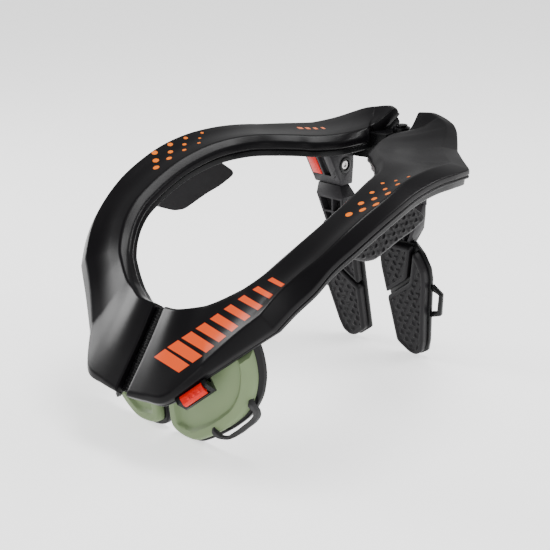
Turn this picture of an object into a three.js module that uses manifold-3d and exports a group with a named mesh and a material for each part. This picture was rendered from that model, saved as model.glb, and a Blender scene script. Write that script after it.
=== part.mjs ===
// Motocross neck brace, a hinged collar that stands on two chest pads and two back pads.
// Units are millimetres, +Z is up, the wearer faces -Y and the wearer's left is +X.

import * as THREE from 'three';
import { mergeVertices } from 'three/addons/utils/BufferGeometryUtils.js';
import Module from 'manifold-3d';

const wasm = await Module();
wasm.setup();

// Driving dimensions of the collar
const collarHalfWidth = 131;
const collarLength = 337;
const collarHeight = 211;
const bevelRun = 12;
const bevelRise = 8;
const outerWall = 7;
const innerWall = 13;
const innerLip = 6;
const innerLipDrop = 6;
const topDish = 1.2;
const frameThickness = 5;
const frameInset = 2.5;
const seatGap = 0.3;

// Rear hinge between the halves
const hingeRadius = 7.5;
const hingePinRadius = 3;
const hingePinHeadRadius = 5.2;
const hingePinHead = 2;
const hingeShare = 0.958;
const hingeTopShare = 0.934;
const hingeHeight = 26;
const hingeLeafDrop = 4;
const hingeLeafGap = 1.2;
const knuckleGap = 0.6;
const bridgeReach = 34;
const bridgeDepth = 26;

// Front key, tongue and release
const keyDepth = 3.2;
const keyThickness = 7;
const keyRidgePitch = 5.5;
const keyRidgeHeight = 1.2;
const tongueThickness = 4;
const tongueReach = 22;
const tongueClearance = 1.4;
const tongueRoomSide = 8;
const leverLength = 19;
const leverWidth = 9;
const leverThickness = 7;
const leverGap = 0.4;
const leverEdge = 1.2;
const leverDepth = 1;
const leverOffset = 5;
const housingThickness = 3.2;
const housingReach = 9;

// Shoulder pads under the arms, placed as shares of the collar
const shoulderPadOuterShare = 0.9008;
const shoulderPadWidth = 26;
const shoulderPadBottomShare = 0.6635;
const shoulderPadFrontShare = 0.365;
const shoulderPadLengthShare = 0.2552;
const shoulderPadHeight = 55;

// Rear brackets and struts, placed as shares of the collar
const bracketCentreShare = 0.355;
const bracketWidth = 31;
const bracketFrontShare = 0.7745;
const bracketDepth = 35;
const rearCornerWidth = 14;
const rearCornerDepth = 15;
const bracketBottomShare = 0.6967;
const bracketTopShare = 0.91;
const bracketSlant = 20;
const bracketFootDepth = 14;
const bracketFootRise = 18;
const slotTopShare = 0.834;
const slotRise = 8;
const slotDepth = 4.5;
const slotWidth = 7.5;
const slotRib = 2.4;
const wedgeWidth = 11;
const wedgeEdge = 1.6;
const screwRadius = 4.6;
const screwRecessRadius = 7;
const screwRecessDepth = 3;
const strutInset = 4;
const strutWidth = 31;
const strutDepth = 17;
const strutSetback = 17;
const strutBottomShare = 0.855;
const strutRim = 3;
const strutPocket = 8;
const strutRib = 1.8;

// Back pads
const backLean = 15;
const backSetback = 42;
const backHeight = 110;
const backInset = 16.5;
const backWidth = 47;
const backPadThickness = 7;
const backPadBevel = 3;
const backPlateThickness = 4;
const backPlateRim = 2;
const padGroove = 3;
const loopWire = 3.6;
const loopReach = 12;
const loopHeight = 34;
const loopStart = 42;

// Chest pads, placed as shares of the collar
const chestFrontShare = 0.1306;
const chestInner = 3;
const chestWidthShare = 0.6718;
const chestHeightShare = 0.4645;
const chestLean = 0.15;
const chestWrap = 22;
const chestPlateThickness = 4;
const chestPlateRim = 3;
const chestPadThickness = 6;
const chestPadBevel = 3;
const chestRimWidth = 8;
const chestDish = 2.4;
const webbingThickness = 3;
const webbingWidth = 7;
const webbingDrop = 9;

// Places that follow from the sizes above
const hingeY = hingeShare * collarLength;
const hingeTop = hingeTopShare * collarHeight;
const hingeBottom = hingeTop - hingeHeight;
const hingeLeafTop = hingeTop - hingeLeafDrop;
const shoulderPadOuter = shoulderPadOuterShare * collarHalfWidth;
const shoulderPadBottom = shoulderPadBottomShare * collarHeight;
const shoulderPadFront = shoulderPadFrontShare * collarLength;
const shoulderPadLength = shoulderPadLengthShare * collarLength;
const bracketCentre = bracketCentreShare * collarHalfWidth;
const bracketInner = bracketCentre - bracketWidth / 2;
const bracketOuter = bracketCentre + bracketWidth / 2;
const bracketFront = bracketFrontShare * collarLength;
const bracketBottom = bracketBottomShare * collarHeight;
const bracketTop = bracketTopShare * collarHeight;
const slotTop = slotTopShare * collarHeight;
const slotBottom = bracketBottom + slotRise;
const wedgeOuter = bracketOuter - wedgeEdge;
const slotOuter = wedgeOuter - wedgeWidth - slotRib;
const screwY = bracketFront + bracketSlant + bracketDepth * 0.12;
const screwZ = bracketBottom + bracketFootRise;
const strutInner = bracketInner - strutInset;
const strutFront = bracketFront + strutSetback;
const strutBottom = strutBottomShare * backHeight;
const backInner = bracketInner - backInset;
const backFront = bracketFront + backSetback;
const chestFront = chestFrontShare * collarLength;
const chestWidth = chestWidthShare * collarHalfWidth;
const chestHeight = chestHeightShare * collarHeight;

// Colours and finishes
const coverBlack = new THREE.MeshStandardMaterial({ color: 0x1b1b1d, roughness: 0.42, metalness: 0 });
const frameBlack = new THREE.MeshStandardMaterial({ color: 0x101011, roughness: 0.35, metalness: 0 });
const plasticGrey = new THREE.MeshStandardMaterial({ color: 0x3a3b3e, roughness: 0.5, metalness: 0 });
const padBlack = new THREE.MeshStandardMaterial({ color: 0x19191c, roughness: 0.6, metalness: 0 });
const leverRed = new THREE.MeshStandardMaterial({ color: 0xd3261c, roughness: 0.35, metalness: 0 });
const padGreen = new THREE.MeshStandardMaterial({ color: 0x8a9c76, roughness: 0.7, metalness: 0 });
const screwSteel = new THREE.MeshStandardMaterial({ color: 0xb9b9b4, roughness: 0.3, metalness: 1 });
const webBlack = new THREE.MeshStandardMaterial({ color: 0x0d0d0e, roughness: 0.8, metalness: 0 });

// Sections of the left half from the front groove to the rear hinge. The columns are shares:
// the inner edge's and the outer edge's x, y and z (of half width, length and height), the
// bevel's run and rise (of bevelRun and bevelRise), and the neck edge's lip and drop.
const sectionColumns = ['inX', 'inY', 'inZ', 'outX', 'outY', 'outZ', 'run', 'rise', 'lip', 'drop'];
const sectionRows = [
  [0.042, 0.117, 0.5, 0.042, 0.0, 0.218, 0.25, 0.125, 0.167, 0.5],
  [0.153, 0.113, 0.509, 0.183, 0.003, 0.225, 0.333, 0.188, 0.167, 0.5],
  [0.275, 0.131, 0.526, 0.328, 0.012, 0.237, 0.417, 0.312, 0.25, 0.5],
  [0.356, 0.142, 0.545, 0.489, 0.071, 0.336, 0.667, 0.375, 0.333, 0.667],
  [0.464, 0.165, 0.585, 0.649, 0.113, 0.427, 0.917, 0.625, 0.5, 0.833],
  [0.534, 0.184, 0.618, 0.813, 0.153, 0.52, 1.0, 0.875, 0.667, 1.0],
  [0.59, 0.208, 0.654, 0.87, 0.184, 0.586, 1.0, 1.0, 0.833, 1.0],
  [0.648, 0.242, 0.704, 0.927, 0.226, 0.649, 1.0, 1.0, 1.0, 1.0],
  [0.682, 0.283, 0.751, 0.955, 0.27, 0.712, 0.717, 0.75, 1.0, 1.0],
  [0.699, 0.333, 0.793, 0.985, 0.329, 0.768, 0.725, 0.875, 1.0, 1.0],
  [0.706, 0.392, 0.836, 0.998, 0.395, 0.818, 0.725, 0.912, 1.0, 1.0],
  [0.698, 0.451, 0.873, 1.0, 0.468, 0.863, 0.725, 0.85, 1.0, 1.0],
  [0.664, 0.525, 0.908, 0.982, 0.547, 0.895, 0.867, 0.8, 1.0, 1.0],
  [0.618, 0.585, 0.924, 0.961, 0.633, 0.91, 1.008, 0.65, 1.0, 1.0],
  [0.534, 0.632, 0.934, 0.944, 0.71, 0.91, 1.225, 0.5, 1.0, 1.0],
  [0.443, 0.665, 0.936, 0.916, 0.766, 0.906, 1.275, 0.362, 1.0, 1.0],
  [0.336, 0.706, 0.934, 0.774, 0.815, 0.915, 1.2, 0.287, 1.0, 1.0],
  [0.252, 0.736, 0.931, 0.614, 0.877, 0.919, 1.075, 0.275, 1.0, 1.0],
  [0.183, 0.78, 0.931, 0.518, 0.926, 0.933, 0.933, 0.388, 1.0, 1.0],
  [0.137, 0.825, 0.936, 0.427, 0.97, 0.952, 0.792, 0.588, 0.8, 1.0],
  [0.118, 0.875, 0.941, 0.363, 0.988, 0.972, 0.692, 0.55, 0.4, 1.0],
  [0.153, 0.902, 0.938, 0.29, 0.995, 0.987, 0.575, 0.45, 0.02, 0.7],
  [0.153, 0.904, 0.938, 0.185, 1.0, 0.999, 0.45, 0.388, 0.02, 0.6],
  [0.153, 0.907, 0.937, 0.095, 0.981, 1.0, 0.25, 0.188, 0.02, 0.5],
];
const collarSections = sectionRows.map((row) => Object.fromEntries(
  sectionColumns.map((column, i) => [column, row[i]]),
));

// Outline of the back plate's face, as shares of its width and of its height along the face
const backOutline = [
  { across: 0.09, up: 0.095 },
  { across: 0.35, up: 0.012 },
  { across: 0.5, up: 0 },
  { across: 0.65, up: 0.04 },
  { across: 0.72, up: 0.13 },
  { across: 0.83, up: 0.38 },
  { across: 0.99, up: 0.72 },
  { across: 0.99, up: 0.81 },
  { across: 0.9, up: 0.92 },
  { across: 0.76, up: 1.0 },
  { across: 0.04, up: 1.0 },
  { across: 0.0, up: 0.78 },
];

// Side outline of the shoulder pad, as shares of its length and height
const shoulderRows = [
  { along: 0, rise: 0.136 },
  { along: 0.2, rise: 0.018 },
  { along: 0.33, rise: 0 },
  { along: 0.64, rise: 0.164 },
  { along: 0.81, rise: 0.227 },
  { along: 1, rise: 0.345 },
  { along: 1, rise: 0.418 },
  { along: 0.83, rise: 0.6 },
  { along: 0.7, rise: 1 },
  { along: 0, rise: 0.818 },
];

// Ends of the groove that parts the small upper pad from the main one, as shares as above
const grooveLine = [
  { across: 0.04, up: 0.52 },
  { across: 0.6, up: 0.7 },
  { across: 0.8, up: 1.0 },
];

// Outline of the chest plate's face, as shares of its width and height
const chestOutline = [
  { across: 0.0, up: 0.1 },
  { across: 0.03, up: 0.04 },
  { across: 0.15, up: 0.0 },
  { across: 0.33, up: 0.0 },
  { across: 0.53, up: 0.1 },
  { across: 0.7, up: 0.21 },
  { across: 0.85, up: 0.34 },
  { across: 0.94, up: 0.5 },
  { across: 0.99, up: 0.67 },
  { across: 1.0, up: 0.78 },
  { across: 0.96, up: 0.85 },
  { across: 0.02, up: 0.85 },
];

const up = new THREE.Vector3(0, 0, 1);

// A closed triangle mesh through rings of equal length, with flat or nearly flat ends
function skinRings(rings) {
  const count = rings[0].length;
  const positions = [];
  const push = (...points) => points.forEach((p) => positions.push(p.x, p.y, p.z));
  for (let r = 0; r < rings.length - 1; r += 1) {
    for (let k = 0; k < count; k += 1) {
      const next = (k + 1) % count;
      const a = rings[r][k];
      const b = rings[r][next];
      const c = rings[r + 1][next];
      const d = rings[r + 1][k];
      push(a, b, c, a, c, d);
    }
  }
  const capEnd = (ring, flip) => {
    const origin = ring[0];
    const axisU = ring[1].clone().sub(origin).normalize();
    const normal = new THREE.Vector3();
    for (let k = 0; k < count; k += 1) {
      const p = ring[k].clone().sub(origin);
      normal.add(p.cross(ring[(k + 1) % count].clone().sub(origin)));
    }
    normal.normalize();
    const axisV = normal.clone().cross(axisU);
    const flat = ring.map((p) => {
      const q = p.clone().sub(origin);
      return new THREE.Vector2(q.dot(axisU), q.dot(axisV));
    });
    for (const [i, j, k] of THREE.ShapeUtils.triangulateShape(flat, [])) {
      if (flip) {
        push(ring[i], ring[k], ring[j]);
      } else {
        push(ring[i], ring[j], ring[k]);
      }
    }
  };
  capEnd(rings[0], true);
  capEnd(rings[rings.length - 1], false);
  const geometry = new THREE.BufferGeometry();
  geometry.setAttribute('position', new THREE.Float32BufferAttribute(positions, 3));
  return outward(mergeVertices(geometry, 1e-4));
}

// Turns a closed mesh's triangles round if they face inward
function outward(geometry) {
  const points = geometry.attributes.position;
  const index = geometry.index;
  const corner = (i) => new THREE.Vector3().fromBufferAttribute(points, index.getX(i));
  let volume = 0;
  for (let i = 0; i < index.count; i += 3) {
    volume += corner(i).dot(corner(i + 1).cross(corner(i + 2)));
  }
  if (volume < 0) {
    for (let i = 0; i < index.count; i += 3) {
      const swap = index.getX(i + 1);
      index.setX(i + 1, index.getX(i + 2));
      index.setX(i + 2, swap);
    }
  }
  return geometry;
}

// Booleans go through manifold-3d and come back as plain geometries
function toSolid(geometry) {
  const bare = geometry.clone();
  bare.deleteAttribute('normal');
  bare.deleteAttribute('uv');
  const merged = outward(mergeVertices(bare, 1e-4));
  return new wasm.Manifold(new wasm.Mesh({
    numProp: 3,
    vertProperties: new Float32Array(merged.attributes.position.array),
    triVerts: new Uint32Array(merged.index.array),
  }));
}

function toGeometry(solid) {
  const mesh = solid.getMesh();
  const geometry = new THREE.BufferGeometry();
  geometry.setAttribute('position', new THREE.BufferAttribute(new Float32Array(mesh.vertProperties), 3));
  geometry.setIndex(new THREE.BufferAttribute(new Uint32Array(mesh.triVerts), 1));
  return geometry;
}

function cutAll(geometry, tools) {
  let solid = toSolid(geometry);
  for (const tool of tools) {
    solid = solid.subtract(toSolid(tool));
  }
  return toGeometry(solid);
}

// The largest body of a cut shape, without the offcuts on the far side of the cut
function mainBody(geometry) {
  const bodies = toSolid(geometry).decompose();
  return toGeometry(bodies.reduce((a, b) => (Math.abs(a.volume()) > Math.abs(b.volume()) ? a : b)));
}

function joinAll(first, others) {
  let solid = toSolid(first);
  for (const other of others) {
    solid = solid.add(toSolid(other));
  }
  return toGeometry(solid);
}

// A slab of a profile drawn in the Y-Z plane, between two x values
function slabAcross(profile, xFrom, xTo) {
  const ring = (x) => profile.map(([y, z]) => new THREE.Vector3(x, y, z));
  return skinRings([ring(xFrom), ring(xTo)]);
}

// A slab of a plan outline drawn in the X-Y plane, between two heights
function slabUp(outline, zFrom, zTo) {
  const ring = (z) => outline.map(([x, y]) => new THREE.Vector3(x, y, z));
  return skinRings([ring(zFrom), ring(zTo)]);
}

function drum(radius, sides, zFrom, zTo, x, y) {
  const geometry = new THREE.CylinderGeometry(radius, radius, zTo - zFrom, sides);
  geometry.rotateX(Math.PI / 2);
  geometry.translate(x, y, (zFrom + zTo) / 2);
  return geometry;
}

// The same outline moved inward by a distance, with mitred corners (negative moves it outward)
function insetOutline(outline, distance) {
  let area = 0;
  outline.forEach(([x, y], i) => {
    const [nx, ny] = outline[(i + 1) % outline.length];
    area += x * ny - nx * y;
  });
  const side = area > 0 ? 1 : -1;
  return outline.map(([x, y], i) => {
    const [px, py] = outline[(i + outline.length - 1) % outline.length];
    const [nx, ny] = outline[(i + 1) % outline.length];
    const before = new THREE.Vector2(x - px, y - py).normalize();
    const after = new THREE.Vector2(nx - x, ny - y).normalize();
    const normalBefore = new THREE.Vector2(-before.y, before.x).multiplyScalar(side);
    const normalAfter = new THREE.Vector2(-after.y, after.x).multiplyScalar(side);
    const mitre = normalBefore.add(normalAfter);
    const scale = (2 * distance) / Math.max(mitre.lengthSq(), 1);
    return [x + mitre.x * scale, y + mitre.y * scale];
  });
}

// The same outline drawn smaller about its middle, by a distance at each side
function shrinkOutline(outline, distance) {
  const low = [Math.min(...outline.map((p) => p[0])), Math.min(...outline.map((p) => p[1]))];
  const high = [Math.max(...outline.map((p) => p[0])), Math.max(...outline.map((p) => p[1]))];
  return outline.map((p) => p.map((value, k) => {
    const middle = (low[k] + high[k]) / 2;
    const half = (high[k] - low[k]) / 2;
    return middle + (value - middle) * ((half - distance) / half);
  }));
}

// Stations of the left half: edge points and the local directions across, along and out
function collarStations() {
  const stations = collarSections.map((s) => ({
    inner: new THREE.Vector3(s.inX * collarHalfWidth, s.inY * collarLength, s.inZ * collarHeight),
    outer: new THREE.Vector3(s.outX * collarHalfWidth, s.outY * collarLength, s.outZ * collarHeight),
    run: s.run * bevelRun,
    rise: s.rise * bevelRise,
    lip: s.lip * innerLip,
    drop: s.drop * innerLipDrop,
  }));
  stations.forEach((s, i) => {
    const before = stations[Math.max(i - 1, 0)];
    const after = stations[Math.min(i + 1, stations.length - 1)];
    s.span = s.outer.clone().sub(s.inner).length();
    s.across = s.outer.clone().sub(s.inner).normalize();
    const middle = (q) => q.inner.clone().add(q.outer).multiplyScalar(0.5);
    s.along = i === 0 ? new THREE.Vector3(1, 0, 0) : middle(after).sub(middle(before)).normalize();
    s.out = s.along.clone().cross(s.across).normalize();
    if (s.out.dot(up) < 0) {
      s.out.negate();
    }
  });
  return stations;
}

const stations = collarStations();

// A loft of a section through the stations; the section returns [across, out] pairs from the inner edge
function collarLoft(section, endExtra = 0) {
  const last = stations.length - 1;
  const rings = stations.map((s, i) => {
    const shift = i === 0 ? -endExtra : i === last ? endExtra : 0;
    return section(s).map(([a, n]) => s.inner.clone()
      .addScaledVector(s.across, a)
      .addScaledVector(s.out, n)
      .addScaledVector(s.along, shift));
  });
  return skinRings(rings);
}

const padSection = (s) => [
  [0, 0],
  [s.span * 0.45, s.rise * 0.4 - topDish],
  [s.span - s.run, s.rise],
  [s.span, 0],
  [s.span + 0.5, -outerWall],
  [s.span - frameInset, -outerWall - 1],
  [-s.lip * 0.4, -innerWall],
  [-s.lip, -innerWall + 2],
  [-s.lip, -s.drop],
];

const frameSection = (s) => {
  const top = -seatGap;
  const bottom = top - frameThickness;
  return [
    [-s.lip * 0.4, -innerWall + top],
    [-s.lip * 0.4, -innerWall + bottom],
    [s.span - frameInset, -outerWall - 1 + bottom],
    [s.span - frameInset, -outerWall - 1 + top],
  ];
};

// Everything from just under the frame upward, for seating what hangs below the collar
const seatSection = (s) => {
  const under = -frameThickness - 2.4 * seatGap;
  const slope = (innerWall - outerWall - 1) / (s.span - frameInset + s.lip * 0.4);
  const at = (a) => -innerWall + under + slope * (a + s.lip * 0.4);
  return [
    [-s.lip - seatGap, at(-s.lip)],
    [-s.lip * 0.4, at(-s.lip * 0.4)],
    [s.span - frameInset, at(s.span - frameInset)],
    [s.span + 1 + seatGap, at(s.span)],
    [s.span + 1 + seatGap, bevelRise * 2],
    [-s.lip - seatGap, bevelRise * 2],
  ];
};

const collarPad = collarLoft(padSection);
const collarFrame = collarLoft(frameSection);
const collarSeat = collarLoft(seatSection, seatGap);

// Front key in the groove: a ridged strip between the two covers
const frontStation = stations[0];
const grooveHalf = frontStation.inner.x - seatGap;

function frontPoint(x, a, n) {
  return new THREE.Vector3(x, frontStation.inner.y, frontStation.inner.z)
    .addScaledVector(frontStation.across, a)
    .addScaledVector(frontStation.out, n);
}

function frontBar(xFrom, xTo, profile) {
  return skinRings([xFrom, xTo].map((x) => profile.map(([a, n]) => frontPoint(x, a, n))));
}

function frontKey() {
  const length = frontStation.span;
  const base = frontBar(-grooveHalf, grooveHalf, [
    [1, -keyDepth],
    [length - 2, -keyDepth],
    [length - 2, -keyDepth - keyThickness],
    [1, -keyDepth - keyThickness],
  ]);
  const ridges = [];
  const count = Math.floor((length - 8) / keyRidgePitch);
  for (let i = 0; i < count; i += 1) {
    const a = 4 + i * keyRidgePitch;
    ridges.push(frontBar(-grooveHalf * 0.7, grooveHalf * 0.7, [
      [a, -keyDepth - 0.5],
      [a + 0.8, -keyDepth + keyRidgeHeight],
      [a + 2, -keyDepth + keyRidgeHeight],
      [a + 2.8, -keyDepth - 0.5],
    ]));
  }
  return joinAll(base, ridges);
}

// Points under the frame at the front, a distance below its sloping underside
function underFront(a, distance) {
  const slope = (innerWall - outerWall - 1) / frontStation.span;
  return -innerWall - frameThickness - seatGap + slope * a - distance;
}

// The right half's tongue runs behind the key and behind the left half's frame
function tongueBar(reach, grow) {
  const from = frontStation.span * 0.07 - grow;
  const to = frontStation.span * 0.42 + grow;
  const near = grow > 0 ? 0 : tongueClearance;
  const far = tongueClearance + tongueThickness + grow;
  return frontBar(-reach, reach, [
    [from, underFront(from, near)],
    [to, underFront(to, near)],
    [to, underFront(to, far)],
    [from, underFront(from, far)],
  ]);
}

function frontTongue() {
  const foot = frontBar(-tongueReach, -grooveHalf - 3, [
    [frontStation.span * 0.12, underFront(frontStation.span * 0.12, seatGap)],
    [frontStation.span * 0.36, underFront(frontStation.span * 0.36, seatGap)],
    [frontStation.span * 0.36, underFront(frontStation.span * 0.36, tongueClearance + 1)],
    [frontStation.span * 0.12, underFront(frontStation.span * 0.12, tongueClearance + 1)],
  ]);
  return joinAll(tongueBar(tongueReach, 0), [foot]);
}

// Hinge halves: a bridge block under the frame, a web up to the covers' recess and knuckles
function hingeBridge(ownKnuckles, otherKnuckles) {
  const clear = knuckleGap;
  const leaf = slabUp([
    [hingeLeafGap, hingeY - bridgeDepth * 0.77],
    [bridgeReach, hingeY - bridgeDepth],
    [bridgeReach, hingeY + hingeRadius * 0.4],
    [hingeRadius * 1.27, hingeY + hingeRadius * 0.67],
    [hingeLeafGap, hingeY - hingeLeafGap],
  ], hingeBottom, hingeLeafTop);
  const cutLeaf = cutAll(leaf, [
    collarSeat,
    drum(hingeRadius + clear, 16, hingeBottom - 1, hingeTop + 1, 0, hingeY),
  ]);
  const arm = [
    [0, hingeY - hingeRadius * 0.8],
    [hingeRadius * 1.6, hingeY - hingeRadius * 0.8],
    [hingeRadius * 1.6, hingeY + hingeRadius * 0.27],
    [0, hingeY + hingeRadius * 0.8],
  ];
  const parts = ownKnuckles.map(([low, high]) => joinAll(
    drum(hingeRadius, 16, low, high, 0, hingeY),
    [slabUp(arm, low, Math.min(high, hingeLeafTop))],
  ));
  let body = joinAll(cutLeaf, parts);
  body = cutAll(body, [
    collarSeat,
    ...otherKnuckles.map(([low, high]) => drum(hingeRadius + clear, 16, low - clear, high + clear, 0, hingeY)),
    drum(hingePinRadius + seatGap, 12, hingeBottom - 1, hingeTop + 1, 0, hingeY),
  ]);
  return mainBody(body);
}

const knuckleThird = (hingeTop - hingeBottom) / 3;
const leftKnuckles = [[hingeBottom + knuckleThird, hingeTop - knuckleThird]];
const rightKnuckles = [
  [hingeBottom, hingeBottom + knuckleThird - knuckleGap],
  [hingeTop - knuckleThird + knuckleGap, hingeTop],
];

function hingePin() {
  return joinAll(
    drum(hingePinRadius, 12, hingeBottom, hingeTop + seatGap + 0.2, 0, hingeY),
    [drum(hingePinHeadRadius, 12, hingeTop + seatGap, hingeTop + seatGap + hingePinHead, 0, hingeY)],
  );
}

// Shoulder pad under the arm
function shoulderPad() {
  const front = shoulderPadFront;
  const length = shoulderPadLength;
  const bottom = shoulderPadBottom;
  const profile = shoulderRows.map(({ along, rise }) => [
    front + length * along,
    bottom + shoulderPadHeight * rise,
  ]);
  const whole = slabAcross(profile, shoulderPadOuter - shoulderPadWidth, shoulderPadOuter);
  return mainBody(cutAll(whole, [collarSeat]));
}

// Rear bracket: slanted front face with slots, inner side with the screw recess
function bracketFaceY(z) {
  return bracketFront + bracketSlant * (1 - (1.25 * (z - bracketBottom)) / (bracketTop - bracketBottom));
}

// A prism that takes the outer rear corner off the bracket and off the strut below it
const bracketRear = bracketFront + bracketDepth;
const rearCorner = slabUp([
  [bracketOuter + rearCornerWidth * 0.5, bracketRear - rearCornerDepth * 1.5],
  [bracketOuter + rearCornerWidth, bracketRear - rearCornerDepth * 1.5],
  [bracketOuter + rearCornerWidth, bracketRear + rearCornerDepth * 0.5],
  [bracketOuter - rearCornerWidth * 1.5, bracketRear + rearCornerDepth * 0.5],
], strutBottom - seatGap, bracketTop + seatGap);

function faceSlot(xFrom, xTo, zLow, zHigh, depth, lift) {
  const profile = [
    [bracketFaceY(zLow) - lift, zLow],
    [bracketFaceY(zHigh) - lift, zHigh],
    [bracketFaceY(zHigh) + depth, zHigh],
    [bracketFaceY(zLow) + depth, zLow],
  ];
  return slabAcross(profile, xFrom, xTo);
}

function rearBracket() {
  const profile = [
    [bracketFaceY(bracketTop), bracketTop],
    [bracketFaceY(bracketBottom), bracketBottom],
    [bracketFaceY(bracketBottom) + bracketFootDepth, bracketBottom],
    [bracketFront + bracketDepth + seatGap, bracketBottom + bracketFootRise],
    [bracketFront + bracketDepth, bracketTop],
  ];
  const recess = new THREE.CylinderGeometry(screwRecessRadius, screwRecessRadius, screwRecessDepth * 2, 14);
  recess.rotateZ(Math.PI / 2);
  recess.translate(bracketInner, screwY, screwZ);
  return cutAll(slabAcross(profile, bracketInner, bracketOuter), [
    collarSeat,
    faceSlot(wedgeOuter - wedgeWidth, wedgeOuter, slotBottom, slotTop, slotDepth, 5),
    faceSlot(slotOuter - slotWidth, slotOuter, slotBottom, slotTop, slotDepth, 5),
    recess,
    rearCorner,
  ]);
}

function angleWedge() {
  const g = seatGap;
  return faceSlot(wedgeOuter - wedgeWidth + g, wedgeOuter - g, slotBottom + g, slotTop - g, slotDepth - g, 0.6);
}

function bracketScrew() {
  const length = screwRecessDepth - seatGap;
  const head = new THREE.CylinderGeometry(screwRadius, screwRadius * 0.86, length, 12);
  head.rotateZ(-Math.PI / 2);
  head.translate(bracketInner + seatGap + length / 2, screwY, screwZ);
  const socket = new THREE.CylinderGeometry(screwRadius * 0.45, screwRadius * 0.45, length, 6);
  socket.rotateZ(Math.PI / 2);
  socket.translate(bracketInner, screwY, screwZ);
  return cutAll(head, [socket]);
}

// Rear strut: tapers down from the bracket's foot behind the back plate, with pockets in front
const strutRings = [
  { inner: 0.2, outer: 1.0, front: 0.15, back: 0.85, up: 1.0 },
  { inner: 0.0, outer: 1.0, front: 0.0, back: 1.0, up: 0.82 },
  { inner: 0.03, outer: 0.62, front: 0.05, back: 0.7, up: 0.32 },
  { inner: 0.05, outer: 0.5, front: 0.35, back: 0.9, up: 0.0 },
];

function strutAt(row) {
  return {
    x0: strutInner + row.inner * strutWidth,
    x1: strutInner + row.outer * strutWidth,
    y0: strutFront + row.front * strutDepth,
    y1: strutFront + row.back * strutDepth,
    z: strutBottom + row.up * (bracketBottom - seatGap - strutBottom),
  };
}

function rearStrut() {
  const body = skinRings(strutRings.map((row) => {
    const { x0, x1, y0, y1, z } = strutAt(row);
    return [[x0, y0], [x1, y0], [x1, y1], [x0, y1]].map(([x, y]) => new THREE.Vector3(x, y, z));
  }));
  const high = strutAt(strutRings[1]);
  const low = strutAt(strutRings[2]);
  const rowsOfCells = 2;
  const cellHeight = (high.z - strutRim - low.z - (rowsOfCells - 1) * strutRib) / rowsOfCells;
  const middle = (high.x0 + high.x1 * 0.9) / 2;
  const pockets = [];
  for (let j = 0; j < rowsOfCells; j += 1) {
    const z0 = low.z + j * (cellHeight + strutRib);
    const z1 = z0 + cellHeight;
    const edge = (z) => low.x1 + ((z - low.z) / (high.z - low.z)) * (high.x1 - low.x1) - strutRim;
    const near = high.x0 + strutRim;
    const left = [[near, z0], [middle - strutRib / 2, z0], [middle - strutRib / 2, z1], [near, z1]];
    const right = [[middle + strutRib / 2, z0], [edge(z0), z0], [edge(z1), z1], [middle + strutRib / 2, z1]];
    for (const cell of [left, right]) {
      pockets.push(skinRings([high.y0 - 5, high.y0 + strutPocket].map(
        (y) => cell.map(([x, z]) => new THREE.Vector3(x, y, z)),
      )));
    }
  }
  const behindPlate = backLayer(backFullOutline, [
    [-20, -backPlateRim - 1],
    [backPadThickness + backPlateThickness + 2 * seatGap, -backPlateRim - 1],
  ]);
  return cutAll(body, [...pockets, behindPlate, rearCorner]);
}

// Points on the leaning back face: across, up along the face and depth behind it
const leanAngle = THREE.MathUtils.degToRad(backLean);

function backPoint(x, s, d) {
  return new THREE.Vector3(
    x,
    backFront - s * Math.sin(leanAngle) + d * Math.cos(leanAngle),
    s * Math.cos(leanAngle) + d * Math.sin(leanAngle),
  );
}

const backFace = (row) => [backInner + row.across * backWidth, row.up * backHeight + backPlateRim];

function backLayer(outline, levels) {
  return skinRings(levels.map(([d, inset]) => insetOutline(outline, inset).map(([x, s]) => backPoint(x, s, d))));
}

const backFullOutline = backOutline.map(backFace);
const grooveFace = grooveLine.map(backFace);

// A band along the groove, wider than the plate is thick, for parting the two pads
function grooveBand(half, sideReach) {
  const [a, b, c] = grooveFace;
  const shifted = (point, before, after) => {
    const dir = new THREE.Vector2(after[0] - before[0], after[1] - before[1]).normalize();
    return [[point[0] + dir.y * half, point[1] - dir.x * half], [point[0] - dir.y * half, point[1] + dir.x * half]];
  };
  const start = [a[0] - sideReach, a[1] - sideReach * 0.35];
  const end = [c[0] + sideReach * 0.45, c[1] + sideReach];
  const s0 = shifted(start, start, b);
  const s1 = shifted(b, a, c);
  const s2 = shifted(end, b, end);
  return [s0[0], s1[0], s2[0], s2[1], s1[1], s0[1]];
}

function backPads() {
  const whole = toSolid(backLayer(backFullOutline, [
    [backPadThickness, 0],
    [backPadBevel, 0],
    [0, backPadBevel],
  ]));
  const band = grooveBand(padGroove / 2, 12);
  const cutter = toSolid(backLayer(band, [[backPadThickness + 1, 0], [-1, 0]]));
  const pieces = whole.subtract(cutter).decompose();
  pieces.sort((p, q) => q.volume() - p.volume());
  return { main: toGeometry(pieces[0]), upper: toGeometry(pieces[1]) };
}

function backPlate() {
  const front = backPadThickness + seatGap;
  const plate = backLayer(backFullOutline, [
    [front, -backPlateRim],
    [front + backPlateThickness, -backPlateRim],
  ]);
  return plate;
}

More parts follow.
